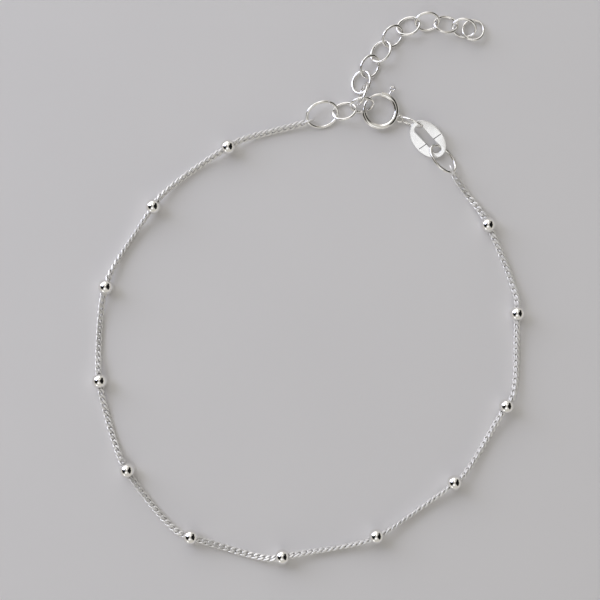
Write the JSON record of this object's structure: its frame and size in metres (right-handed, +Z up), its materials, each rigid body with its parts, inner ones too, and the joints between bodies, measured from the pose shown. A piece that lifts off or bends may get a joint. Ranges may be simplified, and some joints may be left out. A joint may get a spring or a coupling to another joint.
{
  "type": "ball chain bracelet",
  "caption": "Fine curb chain bracelet strung with round beads, with an oval tag, a spring ring clasp and a free extender chain, lying closed on a table.",
  "frame": {"origin": "on the table, under the middle of the whole outline seen from above, inside the wrist hollow", "axes": "+Z up off the table, +Y towards the clasp and the extender, +X towards the tag's side"},
  "size_m": [0.0566, 0.0722, 0.0027],
  "materials": {
    "polished_silver": "polished silver",
    "satin_silver": "fine satin silver"
  },
  "bodies": {
    "bracelet": {"chain": "polished_silver", "bead_01": "polished_silver", "bead_02": "polished_silver", "bead_03": "polished_silver", "bead_04": "polished_silver", "bead_05": "polished_silver", "bead_06": "polished_silver", "bead_07": "polished_silver", "bead_08": "polished_silver", "bead_09": "polished_silver", "bead_10": "polished_silver", "bead_11": "polished_silver", "bead_12": "polished_silver", "end_ring": "polished_silver", "tag_jump_ring": "polished_silver", "clasp_connector": "polished_silver", "extender_link_01": "polished_silver", "extender_link_02": "polished_silver", "extender_link_03": "polished_silver", "extender_link_04": "polished_silver", "extender_link_05": "polished_silver", "extender_link_06": "polished_silver", "extender_link_07": "polished_silver", "extender_link_08": "polished_silver", "extender_link_09": "polished_silver", "extender_link_10": "polished_silver", "extender_link_11": "polished_silver", "extender_link_12": "polished_silver", "tag": "satin_silver", "clasp_ring": "polished_silver"},
    "trigger": {"trigger_bolt": "polished_silver"}
  },
  "joints": [
    {"name": "clasp_lever", "type": "hinge", "parent": "bracelet", "child": "trigger", "pos_m": [0.0094, 0.02329, 0.00063], "axis": [0.0175, 0, 0.9998], "range_deg": [-56, 0], "stiffness_Nm_per_rad": 0.002, "springref_deg": 5.73}
  ]
}
